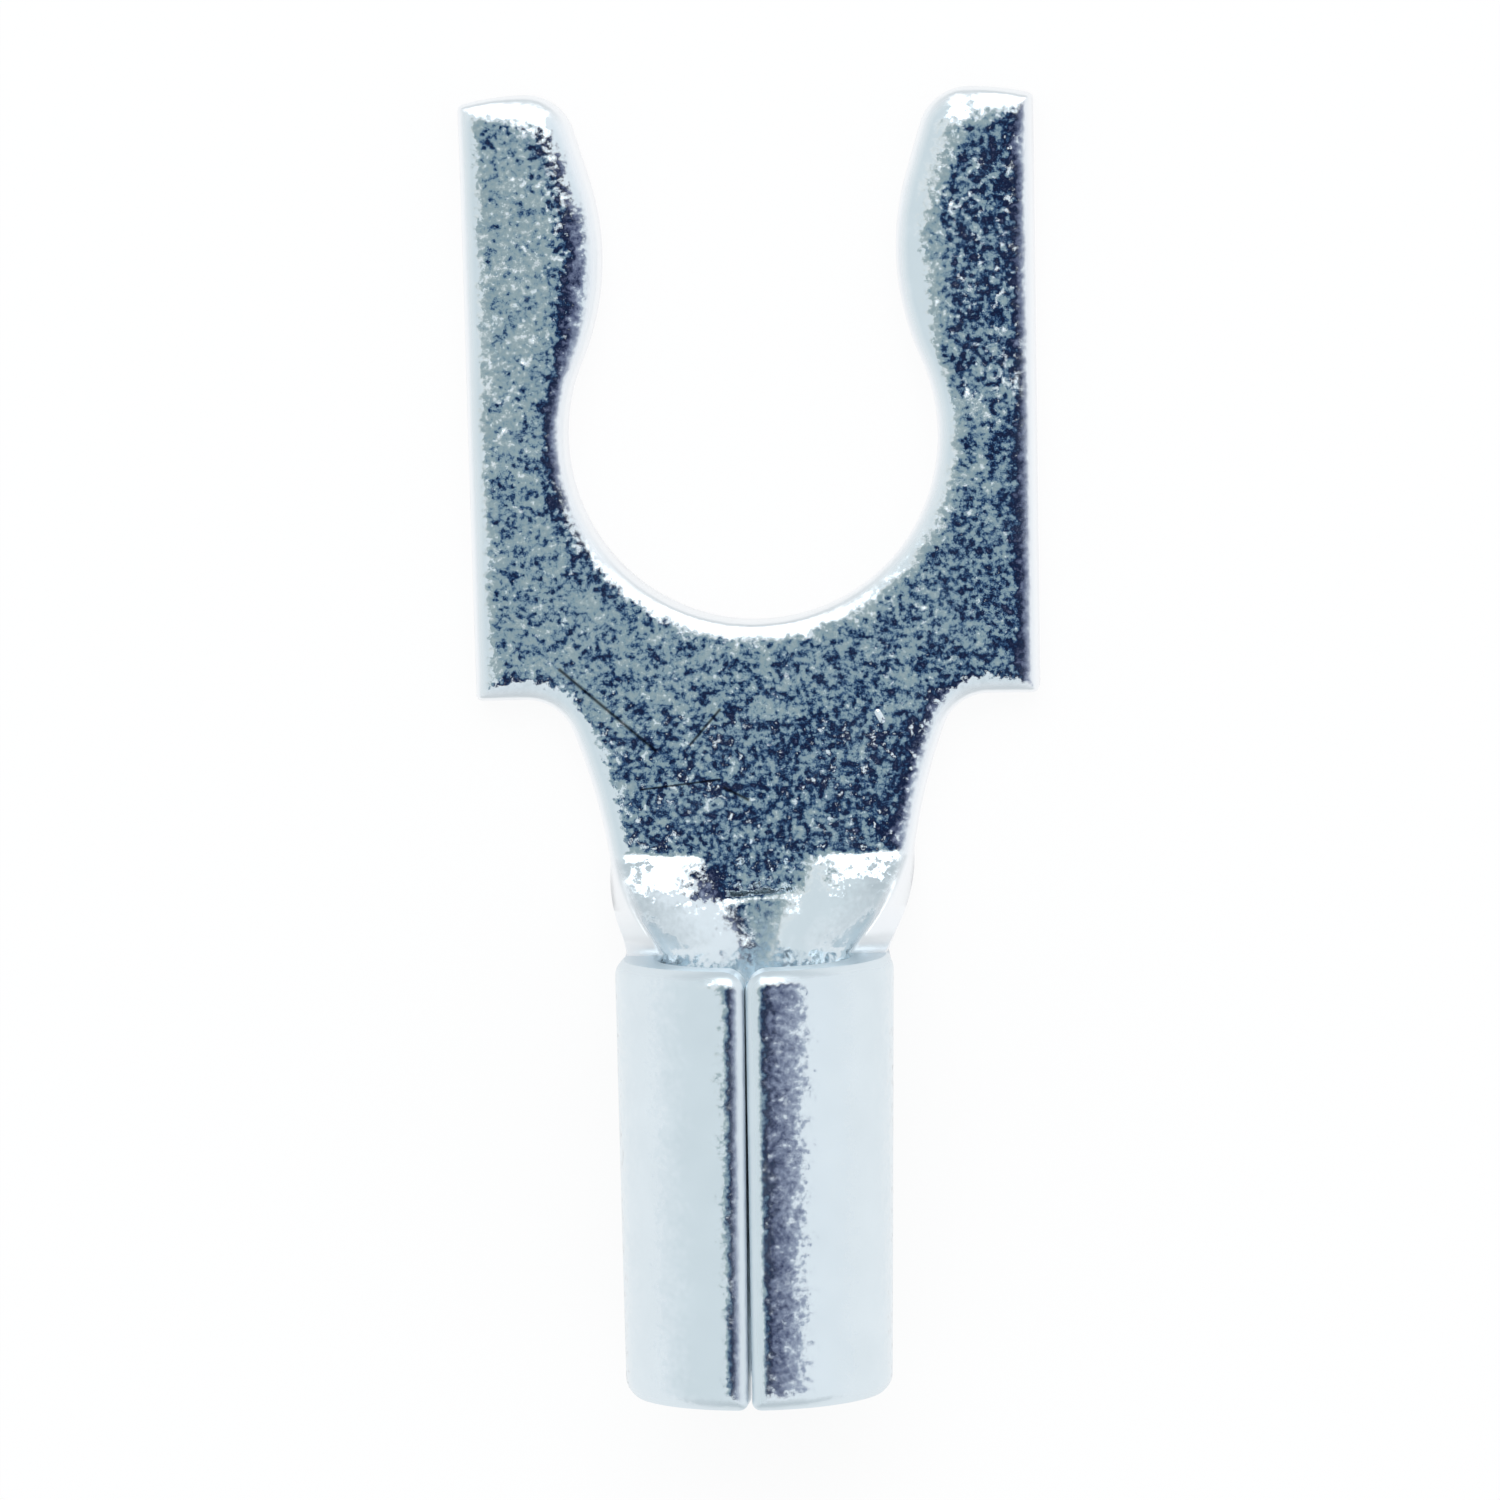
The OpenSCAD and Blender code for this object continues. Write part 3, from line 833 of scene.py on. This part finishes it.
# %% Dark card above
CARD_HEIGHT = 250.0
CARD_CORNERS = ((-240.0, 60.0), (-95.0, -30.0), (-60.0, -115.0), (235.0, -115.0), (235.0, 60.0))
CARD_WAY = (-0.85, 0.53, 0.0)
CARD_FADE = (28.0, 60.0)
CARD_WHITE = (1.0, 1.0, 1.0, 1)
CARD_BLACK = (0.0, 0.0, 0.0, 1)
CARD_TONES = (
    (-220.0, (0.45, 0.49, 0.60, 1)),
    (-110.0, (0.12, 0.14, 0.24, 1)),
    (-65.0, (0.010, 0.017, 0.055, 1)),
    (-35.0, (0.004, 0.012, 0.046, 1)),
    (-11.0, (0.042, 0.104, 0.230, 1)),
    (4.0, (0.21, 0.31, 0.38, 1)),
    (14.0, (0.31, 0.41, 0.46, 1)),
    (38.0, (0.35, 0.435, 0.45, 1)),
    (70.0, (0.41, 0.48, 0.49, 1)),
    (120.0, (0.87, 0.88, 0.86, 1)),
)

card, card_nodes = card_object("dark_card", CARD_CORNERS, CARD_HEIGHT)
card_surface = card_nodes["Principled BSDF"]
card_surface.inputs["Base Color"].default_value = CARD_BLACK
card_surface.inputs["Specular IOR Level"].default_value = 0.0
card.visible_camera = False
card.visible_diffuse = False
card.visible_shadow = False
print(card.name, "at", CARD_HEIGHT, "mm")

# %% Tones along the card
card_along = card_nodes.new("ShaderNodeVectorMath")
card_along.operation = "DOT_PRODUCT"
card_place = card_nodes.new("ShaderNodeTexCoord").outputs["Object"]
feed(card_along.inputs[0], card_place)
feed(card_along.inputs[1], CARD_WAY)
card_share = card_nodes.new("ShaderNodeMapRange")
card_share.inputs["From Min"].default_value = CARD_TONES[0][0] * MM
card_share.inputs["From Max"].default_value = CARD_TONES[-1][0] * MM
feed(card_share.inputs["Value"], card_along.outputs["Value"])
card_ramp = card_nodes.new("ShaderNodeValToRGB")
stops = card_ramp.color_ramp.elements
stops[0].color = CARD_TONES[0][1]
stops[1].color = CARD_TONES[-1][1]
card_span = CARD_TONES[-1][0] - CARD_TONES[0][0]
for place, colour in CARD_TONES[1:-1]:
    stops.new((place - CARD_TONES[0][0]) / card_span).color = colour
feed(card_ramp.inputs["Fac"], card_share.outputs["Result"])
card_parts = card_nodes.new("ShaderNodeSeparateXYZ")
feed(card_parts.inputs[0], card_place)
card_faded = blend(card_nodes, card_parts.outputs["Y"], [y * MM for y in CARD_FADE],
                   (card_ramp.outputs["Color"], CARD_WHITE))
feed(card_surface.inputs["Emission Color"], card_faded)
card_surface.inputs["Emission Strength"].default_value = 1.0
print("card tones", len(stops), "over", card_span, "mm")

# %% Lamp beyond the tips
LAMP_PLACE = Vector((0.0, 195.0, 240.0))
LAMP_WIDTH = 260.0
LAMP_DEPTH = 220.0
LAMP_RADIANCE = 1.2

lamp_data = bpy.data.lights.new("soft_lamp", "AREA")
lamp_data.shape = "RECTANGLE"
lamp_data.size = LAMP_WIDTH * MM
lamp_data.size_y = LAMP_DEPTH * MM
lamp_data.energy = LAMP_RADIANCE * math.pi * lamp_data.size * lamp_data.size_y
lamp = bpy.data.objects.new("soft_lamp", lamp_data)
lamp.location = LAMP_PLACE * MM
lamp.rotation_euler = (-LAMP_PLACE).to_track_quat("-Z", "Y").to_euler()
bpy.context.scene.collection.objects.link(lamp)
print("lamp", round(lamp_data.energy, 4), "W")

# %% [markdown]
# Last comes the view transform. Standard shows the colours as they were set.

# %% View settings
bpy.context.scene.view_settings.view_transform = "Standard"
